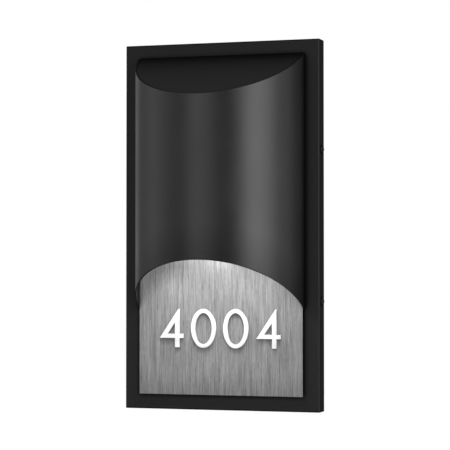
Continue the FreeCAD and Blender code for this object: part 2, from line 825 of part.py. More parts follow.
def digit_zero(label, place):
    """Oval ring of even stroke, a little taller than the straight figures."""
    tall = "(dims.digit_height / 2 + dims.zero_overshoot)"
    wide = "(dims.zero_width / 2)"
    back = "0"
    front = "dims.digit_thickness"
    outside = ellipse_prism(label + "_outside", wide, tall, back, front)
    hole_wide = f"({wide} - dims.zero_stroke)"
    hole_tall = f"({tall} - dims.zero_stroke)"
    inside = ellipse_prism(label + "_inside", hole_wide, hole_tall, back, front)
    body = new_body(label)
    body.BaseFeature = cut(label + "_cut", outside, [inside])
    round_edges(body, label + "_edges", lies_at("z", front), "dims.digit_edge")
    finish(aim(body, "street", place, PLATE_FRONT, "-dims.digit_drop"), label)


def digits():
    """Four numbers, evenly spaced about the middle of the plate."""
    row = [
        ("digit_4_left", digit_four),
        ("digit_0_left", digit_zero),
        ("digit_0_right", digit_zero),
        ("digit_4_right", digit_four),
    ]
    middle = (len(row) - 1) / 2
    for k, (label, figure) in enumerate(row):
        figure(label, f"({k - middle} * dims.digit_pitch)")


# ---------------------------------------------------------------- lamp holder


def foot_screw_places():
    return ["-dims.foot_screw_spacing / 2", "dims.foot_screw_spacing / 2"]


def lamp_bracket():
    """Angle of sheet: a foot down the face of the pan and a shelf over the lamp holder."""
    body = new_body("lamp_bracket")
    top = f"({SHELF} + dims.lamp_bracket_sheet)"
    tip = f"({LAMP_Y} - dims.shelf_overhang)"
    foot_front = f"({FRONT} - dims.lamp_bracket_sheet)"
    low = f"({SHELF} - dims.lamp_bracket_foot)"
    profile = side_sketch(body, "lamp_bracket_profile")
    points = [
        (FRONT, top),
        (tip, top),
        (tip, SHELF),
        (foot_front, SHELF),
        (foot_front, low),
        (FRONT, low),
    ]
    polygon(profile, points)
    pad(body, profile, "dims.lamp_bracket_width", both_ways=True)
    nipple_hole = new_sketch(body, "shelf_hole", "XY_Plane", SHELF)
    circle(nipple_hole, "0", LAMP_Y, "dims.nipple_radius + dims.bore_clearance")
    pocket(body, nipple_hole)
    foot_holes = front_sketch(body, "foot_holes", FRONT)
    for x in foot_screw_places():
        circle(foot_holes, x, FOOT_SCREW_Z, "dims.screw_radius + dims.bore_clearance")
    pocket(body, foot_holes)
    finish(body, "lamp_bracket")


def lamp_bracket_fasteners():
    """Two screws through the foot and the pan, with nuts behind the sheet."""
    screws = []
    nuts = []
    height = "dims.nut_height"
    for k, x in enumerate(foot_screw_places()):
        item = screw(f"foot_screw_{k}", "screw", "dims.foot_screw_length")
        screws.append(aim(item, "street", x, f"{FRONT} - dims.lamp_bracket_sheet", FOOT_SCREW_Z))
        blank = hexagon(f"foot_nut_blank_{k}", "dims.nut_circumradius", "0", height)
        bore = cylinder(f"foot_nut_bore_{k}", "dims.screw_radius + dims.bore_clearance", "0", height)
        nuts.append(aim(cut(f"foot_nut_{k}", blank, [bore]), "wall", x, PAN_BACK, FOOT_SCREW_Z))
    finish(group("lamp_bracket_screws_group", screws), "lamp_bracket_screws")
    finish(group("lamp_bracket_nuts_group", nuts), "lamp_bracket_nuts")


def socket_body():
    """Glazed lamp holder under the shelf: bore for the screw shell, wiring chamber, hub."""
    hub = "(dims.nipple_radius + dims.bore_clearance)"
    post = "(dims.contact_post_radius + dims.bore_clearance)"
    outline = [
        (hub, "0"),
        ("dims.socket_neck_radius", "0"),
        ("dims.socket_neck_radius", "-dims.socket_neck_length"),
        ("dims.socket_radius", "-dims.socket_neck_length - dims.socket_slope_length"),
        ("dims.socket_radius", "-dims.socket_length"),
        ("dims.socket_bore", "-dims.socket_length"),
        ("dims.socket_bore", "-dims.socket_floor"),
        (post, "-dims.socket_floor"),
        (post, "-dims.chamber_floor"),
        ("dims.chamber_radius", "-dims.chamber_floor"),
        ("dims.chamber_radius", "-dims.chamber_top"),
        (hub, "-dims.chamber_top"),
    ]
    finish(turned("socket_body", outline, place_z=SHELF), "socket_body")


def socket_shell():
    """Screw shell of thin metal, lining the bore of the holder."""
    outside = "(dims.socket_bore - dims.socket_shell_clearance)"
    inside = f"({outside} - dims.socket_shell_sheet)"
    floor = "(-dims.socket_floor)"
    end = "(-dims.socket_length + dims.socket_shell_setback)"
    outline = [
        ("dims.socket_shell_lip", floor),
        (outside, floor),
        (outside, end),
        (inside, end),
        (inside, f"{floor} - dims.socket_shell_sheet"),
        ("dims.socket_shell_lip", f"{floor} - dims.socket_shell_sheet"),
    ]
    finish(turned("socket_shell", outline, place_z=SHELF), "socket_shell")


def socket_contact():
    """Centre contact: a disc under the floor of the bore, its post clinched in the chamber."""
    seat = "(-dims.lamp_seat)"
    disc_top = f"({seat} + dims.contact_plate)"
    clinch = "(-dims.chamber_floor)"
    outline = [
        ("0", seat),
        ("dims.contact_radius", seat),
        ("dims.contact_radius", disc_top),
        ("dims.contact_post_radius", disc_top),
        ("dims.contact_post_radius", clinch),
        ("dims.contact_clinch_radius", clinch),
        ("dims.contact_clinch_radius", f"{clinch} + dims.contact_plate"),
        ("0", f"{clinch} + dims.contact_plate"),
    ]
    finish(turned("socket_contact", outline, place_z=SHELF), "socket_contact")


def nipple_and_locknut():
    """Hollow threaded tube through the shelf, and the nut on top of it."""
    outline = [
        ("dims.nipple_bore", "-dims.chamber_top"),
        ("dims.nipple_radius", "-dims.chamber_top"),
        ("dims.nipple_radius", "dims.nipple_rise"),
        ("dims.nipple_bore", "dims.nipple_rise"),
    ]
    finish(turned("socket_nipple", outline, place_z=SHELF), "socket_nipple")
    blank = hexagon("locknut_blank", "dims.locknut_circumradius", "0", "dims.locknut_height")
    bore = cylinder("locknut_bore", "dims.nipple_radius + dims.bore_clearance", "0", "dims.locknut_height")
    item = cut("locknut_cut", blank, [bore])
    bind(item, y=LAMP_Y, z=f"{SHELF} + dims.lamp_bracket_sheet")
    finish(item, "nipple_locknut")


# ---------------------------------------------------------------- lamp


def lamp_contact():
    """Solder button at the tip of the base."""
    outline = [
        ("0", "0"),
        ("dims.lamp_contact_tip", "0"),
        ("dims.lamp_contact_radius", "-dims.lamp_contact_height"),
        ("0", "-dims.lamp_contact_height"),
    ]
    finish(turned("lamp_contact", outline, place_z=LAMP_TOP), "lamp_contact")


INSULATOR_END = "(dims.lamp_contact_height + dims.insulator_height)"
BASE_ROOT = "(dims.base_radius - dims.base_ridge)"
BASE_INSIDE = f"({BASE_ROOT} - dims.base_wall)"


def lamp_base_insulator():
    """Cone of black glass between the contact and the screw base."""
    outline = [
        ("0", "-dims.lamp_contact_height"),
        ("dims.insulator_tip", "-dims.lamp_contact_height"),
        (BASE_ROOT, f"-{INSULATOR_END}"),
        ("0", f"-{INSULATOR_END}"),
    ]
    finish(turned("lamp_base_insulator", outline, place_z=LAMP_TOP), "lamp_base_insulator")


def lamp_base_shell():
    """Thin screw base: ridges stand for the thread, one for each turn that fits the length."""
    outline = [(BASE_INSIDE, f"-{INSULATOR_END}"), (BASE_ROOT, f"-{INSULATOR_END}")]
    threaded = f"dims.base_length - {INSULATOR_END} - dims.base_lead_in"
    for k in range(int(amount(threaded) / amount("dims.base_pitch"))):
        start = f"-({INSULATOR_END} + dims.base_lead_in + {k} * dims.base_pitch)"
        outline.append((BASE_ROOT, start))
        outline.append(("dims.base_radius", f"{start} - dims.ridge_flank"))
        outline.append(("dims.base_radius", f"{start} - dims.ridge_flank - dims.ridge_crest"))
        outline.append((BASE_ROOT, f"{start} - 2 * dims.ridge_flank - dims.ridge_crest"))
    outline.append((BASE_ROOT, "-dims.base_length"))
    outline.append((BASE_INSIDE, "-dims.base_length"))
    finish(turned("lamp_base_shell", outline, place_z=LAMP_TOP), "lamp_base_shell")


COLLAR_END = "(dims.base_length + dims.lamp_collar_length)"


def lamp_body():
    """Collar between base and globe: a plug in the base and a flaring heat spreader."""
    plug = f"({BASE_INSIDE} - dims.bore_clearance)"
    rim = f"({COLLAR_END} - dims.lamp_collar_round)"
    outline = [
        ("0", f"-{INSULATOR_END}"),
        (plug, f"-{INSULATOR_END}"),
        (plug, "-dims.base_length"),
        ("dims.collar_neck_radius", "-dims.base_length"),
        ("dims.collar_neck_radius", "-dims.base_length - dims.lamp_collar_round"),
        ("dims.lamp_collar_radius", f"-{rim}"),
        ("dims.lamp_collar_radius", f"-{COLLAR_END}"),
        ("0", f"-{COLLAR_END}"),
    ]
    finish(turned("lamp_body", outline, place_z=LAMP_TOP), "lamp_body")


def lamp_globe():
    """Frosted globe, open at the top where it sits on the collar."""
    centre = f"({LAMP_TOP} - dims.lamp_length + dims.globe_radius)"
    reach = "dims.globe_radius"
    spheres = []
    for name, radius in (("globe_outside", reach), ("globe_inside", f"{reach} - dims.globe_wall")):
        sphere = doc.addObject("Part::Sphere", name)
        bind(sphere, Radius=radius, y=LAMP_Y, z=centre)
        spheres.append(sphere)
    rim = f"({LAMP_TOP} - {COLLAR_END})"
    near = f"{LAMP_Y} - {reach}"
    far = f"{LAMP_Y} + {reach}"
    above = box("globe_above", f"-{reach}", reach, near, far, rim, f"{rim} + {reach}")
    finish(cut("lamp_globe_cut", spheres[0], [spheres[1], above]), "lamp_globe")


# ---------------------------------------------------------------- wiring


def wire_grommet():
    """Rubber grommet in the sheet of the pan, above the lamp bracket."""
    neck = "(dims.grommet_hole - dims.bore_clearance)"
    outline = [
        ("dims.grommet_bore", "-dims.grommet_lip - dims.pan_sheet"),
        ("dims.grommet_flange", "-dims.grommet_lip - dims.pan_sheet"),
        ("dims.grommet_flange", "-dims.pan_sheet"),
        (neck, "-dims.pan_sheet"),
        (neck, "0"),
        ("dims.grommet_flange", "0"),
        ("dims.grommet_flange", "dims.grommet_lip"),
        ("dims.grommet_bore", "dims.grommet_lip"),
    ]
    body = turned("wire_grommet", outline)
    finish(aim(body, "street", "0", FRONT, "dims.lead_height"), "wire_grommet")


def ear_places():
    middle = "(dims.block_width / 2 + dims.block_ear / 2)"
    return [f"-{middle}", middle]


def pole_places():
    return ["-dims.pole_pitch", "0", "dims.pole_pitch"]


def well_places():
    """Places of the clamping screws: an upper and a lower one at each pole."""
    rows = ["dims.block_rise + dims.well_rise", "dims.block_rise - dims.well_rise"]
    return [(x, z) for x in pole_places() for z in rows]


def terminal_block():
    """Three-pole block behind the sheet of the pan, wires entering from above and below."""
    half = "dims.block_width / 2"
    low = "dims.block_rise - dims.block_height / 2"
    main = box("block_main", f"-{half}", half, PAN_BACK, BLOCK_BACK, low, BLOCK_TOP)
    wide = f"({half} + dims.block_ear)"
    ear_back = f"{PAN_BACK} + dims.block_ear_thickness"
    ear_half = "dims.block_ear_height / 2"
    ear_low = f"dims.block_rise - {ear_half}"
    ear_high = f"dims.block_rise + {ear_half}"
    ears = box("block_ears", f"-{wide}", wide, PAN_BACK, ear_back, ear_low, ear_high)
    tools = []
    for k, x in enumerate(pole_places()):
        tools.append(cylinder(f"block_entry_{k}", "dims.entry_radius", low, BLOCK_TOP, x=x, y=LEAD_Y))
    for k, (x, z) in enumerate(well_places()):
        well = cylinder(f"block_well_{k}", "dims.well_radius", WELL_FLOOR, BLOCK_BACK)
        tools.append(aim(well, "wall", x, WELL_FLOOR, z))
    bore = "dims.small_screw_radius + dims.bore_clearance"
    for k, x in enumerate(ear_places()):
        hole = cylinder(f"block_ear_hole_{k}", bore, "0", "dims.block_ear_thickness")
        tools.append(aim(hole, "wall", x, PAN_BACK, "dims.block_rise"))
    finish(cut("terminal_block_cut", fuse("block_solid", [main, ears]), tools), "terminal_block")


def terminal_screws():
    """Clamping screws at the bottom of their wells."""
    screws = []
    for k, (x, z) in enumerate(well_places()):
        item = dome(f"terminal_screw_{k}", "dims.terminal_screw_radius", "dims.terminal_screw_height")
        screws.append(aim(item, "wall", x, WELL_FLOOR, z))
    finish(group("terminal_screws_group", screws), "terminal_screws")


def terminal_block_screws():
    """Two small screws through the ears of the block into the sheet of the pan."""
    screws = []
    for k, x in enumerate(ear_places()):
        item = screw(f"ear_screw_{k}", "small_screw", "dims.small_screw_length")
        screws.append(aim(item, "wall", x, f"{PAN_BACK} + dims.block_ear_thickness", "dims.block_rise"))
    finish(group("terminal_block_screws_group", screws), "terminal_block_screws")


def pan_ground():
    """Ring terminal clamped behind the sheet of the pan by a ground screw."""
    ring = cylinder("ring_disc", "dims.ring_radius", "0", "dims.ring_sheet")
    bore = cylinder("ring_bore", "dims.screw_radius + dims.bore_clearance", "0", "dims.ring_sheet")
    neck_end = "(dims.ring_radius + dims.barrel_length)"
    half = "dims.barrel_radius"
    neck = box("ring_neck", "0", neck_end, f"-{half}", half, "0", "dims.ring_sheet")
    barrel = doc.addObject("Part::Cylinder", "ring_barrel")
    bind(barrel, Radius="dims.barrel_radius", Height="dims.barrel_length")
    aim(barrel, "right", "dims.ring_radius", "0", "dims.barrel_radius")
    lead_bore = doc.addObject("Part::Cylinder", "ring_lead_bore")
    bind(lead_bore, Radius="dims.lead_radius + dims.bore_clearance", Height="dims.barrel_length")
    aim(lead_bore, "right", "dims.ring_radius", "0", "dims.barrel_radius")
    item = cut("ring_terminal_cut", fuse("ring_solid", [ring, neck, barrel]), [bore, lead_bore])
    turn = FreeCAD.Rotation(FreeCAD.Vector(0, 1, 1), 180)
    item.Placement = FreeCAD.Placement(FreeCAD.Vector(0, 0, 0), turn)
    bind(item, x="dims.pan_ground_x", y=PAN_BACK, z="dims.pan_ground_rise")
    finish(item, "ground_ring_terminal")
    fastener = screw("pan_ground_cut", "screw", "dims.pan_ground_length")
    aim(fastener, "wall", "dims.pan_ground_x", f"{PAN_BACK} + dims.ring_sheet", "dims.pan_ground_rise")
    finish(fastener, "pan_ground_screw")


LEAD_END = "(dims.block_rise + dims.lead_stop)"


def lead(label, route):
    """A round insulated lead: straight runs joined by tangent arcs, one bend radius for each corner."""
    points = [FreeCAD.Vector(*(amount(value) for value in place)) for place, bend in route]
    bends = [amount(bend) for place, bend in route]
    edges = []
    start = points[0]
    for k in range(1, len(points) - 1):
        back = (points[k - 1] - points[k]).normalize()
        ahead = (points[k + 1] - points[k]).normalize()
        corner = back.getAngle(ahead)
        reach = bends[k] / math.tan(corner / 2)
        into = points[k] + back * reach
        out = points[k] + ahead * reach
        bisector = (back + ahead).normalize()
        centre_distance = (bends[k] ** 2 + reach ** 2) ** 0.5
        middle = points[k] + bisector * (centre_distance - bends[k])
        edges.append(Part.LineSegment(start, into).toShape())
        edges.append(Part.Arc(into, middle, out).toShape())
        start = out
    edges.append(Part.LineSegment(start, points[-1]).toShape())
    spine = Part.Wire(edges)
    direction = points[1] - points[0]
    radius = amount("dims.lead_radius")
    section = Part.Wire([Part.Circle(points[0], direction, radius).toShape()])
    item = doc.addObject("Part::Feature", label + "_tube")
    item.Shape = spine.makePipeShell([section], True, False)
    item.Placement = FreeCAD.Placement()
    finish(item, label)


def lamp_lead(label, side, pole):
    """Lead from the wiring chamber of the holder, over the shelf, through the grommet to its pole."""
    x = f"{side}dims.lead_spacing / 2"
    chamber = f"{SHELF} - dims.chamber_floor + dims.contact_plate + dims.lead_radius"
    drop = "dims.lead_height"
    half_way = f"({drop} + {BLOCK_TOP}) / 2"
    route = [
        ((x, LAMP_Y, chamber), "0"),
        ((x, LAMP_Y, drop), "dims.lead_bend"),
        ((x, LEAD_Y, drop), "dims.lead_tight_bend"),
        ((x, LEAD_Y, f"{half_way} + dims.lead_bend"), "dims.lead_bend"),
        ((pole, LEAD_Y, f"{half_way} - dims.lead_bend"), "dims.lead_bend"),
        ((pole, LEAD_Y, LEAD_END), "0"),
    ]
    lead(label, route)


def ground_lead():
    """Lead from the ring terminal across to the third pole."""
    height = "dims.pan_ground_rise"
    start = "dims.pan_ground_x - dims.ring_radius"
    level = f"{PAN_BACK} + dims.barrel_radius"
    bend = "dims.lead_bend"
    pole = "dims.pole_pitch"
    route = [
        ((start, level, height), "0"),
        ((f"{start} - dims.barrel_length - dims.lead_radius", level, height), bend),
        ((f"{pole} + dims.ground_lead_knee", LEAD_Y, height), bend),
        ((pole, LEAD_Y, height), "dims.lead_tight_bend"),
        ((pole, LEAD_Y, LEAD_END), "0"),
    ]
    lead("lead_ground", route)


# ---------------------------------------------------------------- the whole sign

wall_gasket()
wall_bracket()
supply_bushing()
ground_screw()
side_screws()
housing_pan()
shade_shell()
shade_cap()
shade_rivets()
plate_pad()
number_plate()
digits()
lamp_bracket()
lamp_bracket_fasteners()
socket_body()
socket_shell()
socket_contact()
nipple_and_locknut()
lamp_contact()
lamp_base_insulator()
lamp_base_shell()
lamp_body()
lamp_globe()
wire_grommet()
terminal_block()
terminal_screws()
terminal_block_screws()
pan_ground()
lamp_lead("lead_hot", "-", "-dims.pole_pitch")
lamp_lead("lead_neutral", "", "0")
ground_lead()

doc.recompute()

for item in doc.Objects:
    if "Invalid" in item.State or "Error" in item.State:
        raise RuntimeError(f"{item.Name} did not build: {item.State}")
for item in parts:
    if item.Shape.isNull() or not item.Shape.isValid():
        raise RuntimeError(f"{item.Label} has no valid shape")

os.makedirs("parts", exist_ok=True)
for item in parts:
    item.Shape.exportStep(f"parts/{item.Label}.step")
    print(f"{item.Label}: {len(item.Shape.Solids)} solids, {item.Shape.Volume:.1f} mm3")
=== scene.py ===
"""Illuminated house number sign: finishes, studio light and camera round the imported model.

Metres, Z up. X points to the right as seen from the street, Y into the wall. The front of the pan faces -Y.
"""
import json
import math

import bpy
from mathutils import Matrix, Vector


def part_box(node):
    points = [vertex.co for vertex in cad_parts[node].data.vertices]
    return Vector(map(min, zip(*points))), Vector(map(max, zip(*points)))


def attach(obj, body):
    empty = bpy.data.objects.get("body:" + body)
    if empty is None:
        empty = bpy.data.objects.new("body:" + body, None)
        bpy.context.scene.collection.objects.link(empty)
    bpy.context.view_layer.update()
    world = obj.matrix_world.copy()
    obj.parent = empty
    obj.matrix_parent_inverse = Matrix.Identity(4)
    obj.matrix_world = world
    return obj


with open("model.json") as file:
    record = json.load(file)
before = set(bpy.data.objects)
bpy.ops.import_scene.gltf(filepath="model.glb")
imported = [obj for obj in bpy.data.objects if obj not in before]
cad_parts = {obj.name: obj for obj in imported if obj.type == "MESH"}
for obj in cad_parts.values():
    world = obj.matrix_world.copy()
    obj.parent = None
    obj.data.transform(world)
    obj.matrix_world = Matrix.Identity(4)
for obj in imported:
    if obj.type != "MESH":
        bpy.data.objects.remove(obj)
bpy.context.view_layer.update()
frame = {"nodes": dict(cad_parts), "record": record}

# ---------------------------------------------------------------- view of the photograph

CAMERA_PLACE = Vector((0.53810, -1.66131, -0.04180))
CAMERA_AIM = Vector((-0.30876, 0.95082, 0.02464))
LENS_MM = 143.2
SENSOR_MM = 36.0
CLIP_NEAR, CLIP_FAR = 0.05, 50.0

# ---------------------------------------------------------------- node helpers

# The colour sockets of the Mix node share their names with others, so they go by number.
MIX_AMOUNT, MIX_FIRST, MIX_SECOND, MIX_RESULT = 0, 6, 7, 2

# Nearly all values of a noise lie between these.
NOISE_LOW, NOISE_HIGH = 0.3, 0.7

CREASE_SAMPLES = 16


class Look:
    """A material's node tree, with short ways to add and join nodes."""

    def __init__(self, name):
        self.material = bpy.data.materials.new(name)
        self.material.use_nodes = True
        self.tree = self.material.node_tree
        self.shader = self.tree.nodes["Principled BSDF"]
        self.coordinates = self.add("ShaderNodeTexCoord").outputs["Object"]

    def feed(self, socket, value):
        """Joins a socket to the input, or sets the input to a plain value."""
        if isinstance(value, bpy.types.NodeSocket):
            self.tree.links.new(value, socket)
        else:
            socket.default_value = value

    def add(self, kind, settings=None, inputs=None):
        """A node with its settings, its inputs given as values or as sockets to join."""
        node = self.tree.nodes.new(kind)
        for key, value in (settings or {}).items():
            setattr(node, key, value)
        for key, value in (inputs or {}).items():
            self.feed(node.inputs[key], value)
        return node

    def set(self, **values):
        """Values or sockets for the main shader, underscores standing for spaces."""
        for key, value in values.items():
            self.feed(self.shader.inputs[key.replace("_", " ")], value)

    def grain(self, size, stretch=(1, 1, 1), detail=2.0, place=(0, 0, 0)):
        """Noise whose features are about size metres across, longer along stretched axes."""
        scale = [1 / (size * longer) for longer in stretch]
        inputs = {"Vector": self.coordinates, "Scale": scale, "Location": place}
        mapping = self.add("ShaderNodeMapping", inputs=inputs)
        inputs = {"Vector": mapping.outputs["Vector"], "Scale": 1.0, "Detail": detail}
        return self.add("ShaderNodeTexNoise", inputs=inputs).outputs["Fac"]

    def cells(self, size):
        """Distance to the middle of the nearest of many small cells of that size in metres."""
        inputs = {"Vector": self.coordinates, "Scale": 1 / size}
        return self.add("ShaderNodeTexVoronoi", inputs=inputs).outputs["Distance"]

    def ranged(self, value, low, high, start=NOISE_LOW, end=NOISE_HIGH):
        """The value's span from start to end turned into one from low to high."""
        inputs = {"Value": value, "From Min": start, "From Max": end, "To Min": low, "To Max": high}
        return self.add("ShaderNodeMapRange", inputs=inputs).outputs["Result"]

    def maths(self, operation, first, *others):
        """The operation on the first value and each of the others in turn."""
        for other in others:
            node = self.add("ShaderNodeMath", {"operation": operation}, {0: first, 1: other})
            first = node.outputs["Value"]
        return first

    def blend(self, amount, first, second):
        """A colour between two colours, or colour sockets: the first at amount 0, the second at 1."""
        node = self.add("ShaderNodeMix", {"data_type": "RGBA"}, {MIX_AMOUNT: amount})
        for index, colour in ((MIX_FIRST, first), (MIX_SECOND, second)):
            is_socket = isinstance(colour, bpy.types.NodeSocket)
            self.feed(node.inputs[index], colour if is_socket else (*colour, 1.0))
        return node.outputs[MIX_RESULT]

    def bumps(self, height, depth, strength):
        """Normals for a relief whose full depth is given in metres."""
        inputs = {"Height": height, "Distance": depth, "Strength": strength}
        self.set(Normal=self.add("ShaderNodeBump", inputs=inputs).outputs["Normal"])

    def openness(self, distance, power, inside=False):
        """One in the open, falling towards creases, or towards the solid's own edges from inside."""
        settings = {"samples": CREASE_SAMPLES, "inside": inside, "only_local": inside}
        clear = self.add("ShaderNodeAmbientOcclusion", settings, {"Distance": distance})
        return self.maths("POWER", clear.outputs["AO"], power)

    def position(self):
        """The X, Y and Z of the surface in the sign's own frame."""
        return self.add("ShaderNodeSeparateXYZ", inputs={0: self.coordinates}).outputs

    def facing(self):
        """The X, Y and Z of the surface's normal."""
        normal = self.add("ShaderNodeNewGeometry").outputs["Normal"]
        return self.add("ShaderNodeSeparateXYZ", inputs={0: normal}).outputs


def grey(level, tint=(0.0, 0.0, 0.0)):
    return tuple(level + shift for shift in tint)


def scaled(colour, share):
    return tuple(share * part for part in colour)


# ---------------------------------------------------------------- black powder coat

# Painted shade in the creases, dull and dark: how far it spreads out of them, and how steeply it sets in.
PAN_CREASE_SHADE = (0.005, 2.2)
HOOD_CREASE_SHADE = (0.014, 2.5)
# Painted shade: a thin dark line along the lid's own edges, read from inside the lid.
LID_SEAM_SHADE = (0.0009, 3.0)

# Painted light and shade on the lid: its gloss at its rim and at the wall, as a share of its full gloss.
LID_PAINTED_GLOSS = (1.35, 0.5)

# The arch of the hood is cut by a plane that rises from the wall at this angle.
ARCH_ANGLE = math.radians(33.6)

# What is left of the coat's tone and gloss at the arch, and the heights above it where the darkening starts
# to fade and ends.
ARCH_DIM = 0.74
ARCH_DIM_SPAN = (0.006, 0.036)

# The coat's tones and the tone of its painted crease shade, as shares of its level. Then how far a noise
# moves its roughness.
COAT_TONES = (0.8, 1.2)
CREASE_SHADE_TONE = 0.1
ROUGH_STRAY = 0.03


def lid_seam_shade(look):
    """Painted shade and light on the lid: a dark line along its rim, a brighter gloss just inside it, and a
    coat that gets darker and duller from there towards the wall.
    """
    low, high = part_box("shade_cap")
    tarnish_and_shade = look.ranged(look.position()["Y"], *LID_PAINTED_GLOSS, low.y, high.y)
    return look.maths("MULTIPLY", look.openness(*LID_SEAM_SHADE, inside=True), tarnish_and_shade)


def arch_dimming(look):
    """The coat of the hood gets about a quarter darker and duller along its arch."""
    low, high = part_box("shade_shell")
    place = look.position()
    slope = math.tan(ARCH_ANGLE)
    rise = look.maths("ADD", place["Z"], look.maths("MULTIPLY", place["Y"], slope))
    start, end = (low.z + high.y * slope + height for height in ARCH_DIM_SPAN)
    return look.ranged(rise, ARCH_DIM, 1.0, start, end)


def powder_coat(name, level, rough, gloss, skin, relief, crease_shade, dimming=None):
    """Black powder coat: clouds of tone, an orange-peel skin, painted shade in the creases and a darkening of
    its own.
    """
    look = Look(name)
    # Painted shade: the coat's gloss and tone both fall in the creases, towards a dark tone.
    clear = look.openness(*crease_shade)
    if dimming:
        clear = look.maths("MULTIPLY", clear, dimming(look))
    look.set(Specular_IOR_Level=look.maths("MULTIPLY", clear, gloss))
    clouds = look.grain(0.045, detail=3.0)
    speck = look.grain(0.0006, detail=1.0)
    tone = look.maths("ADD", look.ranged(clouds, 0.0, 0.6), look.ranged(speck, 0.0, 0.4))
    coat = look.blend(tone, *(grey(level * share) for share in COAT_TONES))
    look.set(Base_Color=look.blend(clear, grey(level * CREASE_SHADE_TONE), coat))
    cloudy = look.ranged(clouds, -ROUGH_STRAY, ROUGH_STRAY)
    speckled = look.ranged(speck, rough - ROUGH_STRAY, rough + ROUGH_STRAY)
    look.set(Roughness=look.maths("ADD", cloudy, speckled))
    look.bumps(look.grain(skin), depth=relief, strength=0.5)
    return look.material


# ---------------------------------------------------------------- brushed plate

# Three layers of upright streaks: size, how much longer than wide, detail, place in the noise, and weight.
STREAK_LAYERS = (
    (0.0024, 18, 4.0, (0, 0, 0), 0.3),
    (0.0006, 34, 2.0, (3.7, 0, 0), 0.45),
    (0.0005, 10, 2.0, (8.1, 0, 2.3), 0.25),
)
PLATE_TONES = (0.095, 0.442)
# Painted shade: the plate's cut edges get this near-black tone.
CUT_EDGE_SHADE_TONE = 0.02

# Painted shade at the plate's edges: what is left of the tone at the edge, and how far inside it is whole
# again.
FOOT_SHADE = (0.8, 0.022)
LEFT_EDGE_SHADE = (0.94, 0.010)
RIGHT_EDGE_SHADE = (0.88, -0.003)

# Painted shadows lie where the numbers stand in the way of this direction, so below and to the right of them.
# Then how near they have to be, what is left of the tone in the shadow, and at what openness it is full and
# gone.
SHADOW_SIDE = (-0.1, -0.55, 0.83)
SHADOW_REACH = 0.006
SHADOW_TONE = 0.5
SHADOW_SPAN = (0.3, 0.75)

# How much of the normal lies along Y: at most on the cut edges, and at least on the face.
CUT_EDGE_SHADE_SPAN = (0.6, 0.9)


def brushed_plate(name):
    """Aluminium brushed upright: long streaks in tone, gloss and relief; painted shade at its edges and on
    its cut edges, painted shadows below the numbers.
    """
    look = Look(name)
    layers = [
        look.ranged(look.grain(size, (1, 1, longer), detail, place), 0.0, weight)
        for size, longer, detail, place, weight in STREAK_LAYERS
    ]
    streaks = look.maths("ADD", *layers)
    brushed = look.blend(streaks, *map(grey, PLATE_TONES))
    low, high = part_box("number_plate")
    place = look.position()
    edges = (("Z", low.z, *FOOT_SHADE), ("X", low.x, *LEFT_EDGE_SHADE), ("X", high.x, *RIGHT_EDGE_SHADE))
    dimming = [look.ranged(place[axis], share, 1.0, edge, edge + reach) for axis, edge, share, reach in edges]
    frontal = look.maths("ABSOLUTE", look.facing()["Y"], 0.0)
    side = look.add("ShaderNodeCombineXYZ", inputs=dict(zip("XYZ", SHADOW_SIDE))).outputs["Vector"]
    settings = {"samples": CREASE_SAMPLES}
    clear = look.add("ShaderNodeAmbientOcclusion", settings, {"Distance": SHADOW_REACH, "Normal": side})
    digit_shadow = look.ranged(clear.outputs["AO"], SHADOW_TONE, 1.0, *SHADOW_SPAN)
    shown = look.maths("MULTIPLY", *dimming, look.ranged(frontal, 0.0, 1.0, *CUT_EDGE_SHADE_SPAN), digit_shadow)
    look.set(Base_Color=look.blend(shown, grey(CUT_EDGE_SHADE_TONE), brushed))
    look.set(Metallic=0.4, Anisotropic=0.6)
    look.set(Roughness=look.ranged(streaks, 0.34, 0.46, start=0.0, end=1.0))
    tangent = look.add("ShaderNodeTangent", {"direction_type": "RADIAL", "axis": "Z"})
    look.set(Tangent=tangent.outputs["Tangent"])
    look.bumps(streaks, depth=0.00003, strength=0.6)
    return look.material


# ---------------------------------------------------------------- other finishes

WHITE = (1.0, 1.0, 1.0, 1.0)
BLACK_PLASTIC = (0.014, 0.014, 0.014)
GREEN = (0.02, 0.19, 0.05)

# Darker tones of zinc's rolling lines, tarnish, flow clouds, the glaze and the globe, as shares of the plain.
LINE_TONE = 0.6
TARNISH_TONE = 0.62
FLOW_TONE = 0.78
GLAZE_TONE = 0.9
GLOBE_TONE = 0.96

# The same for the globe's glow at its collar, and in its faint clouds.
COLLAR_GLOW = 0.8
GLOW_CLOUDS = (0.96, 1.04)

# Blue and straw clouds of the zinc, as shifts of red, green and blue.
ZINC_COOL = (-0.02, 0.0, 0.03)
ZINC_STRAW = (0.03, 0.015, -0.03)

FOAM_TONES = (0.010, 0.022)
ENAMEL_TONES = (0.76, 0.8)
LEDGE_SHADE_TONE = 0.1

# How much of the normal points up: where painted shade starts on the ledges that face the lamp, and where it
# is full.
LEDGE_SHADE_SPAN = (0.2, 0.6)

# Brown specks in the glaze.
GLAZE_SPECKS = (0.42, 0.38, 0.31)


def white_enamel(name):
    """Smooth white enamel with a hint of orange peel; painted shade on the ledges that face the lamp."""
    look = Look(name)
    clouds = look.grain(0.012)
    white = look.blend(look.ranged(clouds, 0.0, 1.0), *map(grey, ENAMEL_TONES))
    unshaded = look.ranged(look.facing()["Z"], 1.0, 0.0, *LEDGE_SHADE_SPAN)
    look.set(Base_Color=look.blend(unshaded, grey(LEDGE_SHADE_TONE), white))
    look.set(Roughness=look.ranged(look.grain(0.002), 0.3, 0.4))
    look.bumps(look.grain(0.0012), depth=0.00001, strength=0.4)
    return look.material


def closed_foam(name):
    """Black closed-cell foam: small cells as pits, dull and slightly uneven."""
    look = Look(name)
    cells = look.cells(0.0011)
    clouds = look.grain(0.02, detail=3.0)
    look.set(Base_Color=look.blend(look.ranged(clouds, 0.0, 1.0), *map(grey, FOAM_TONES)))
    look.set(Roughness=look.ranged(cells, 0.95, 0.8, start=0.0, end=0.8))
    look.bumps(cells, depth=0.0003, strength=0.8)
    return look.material


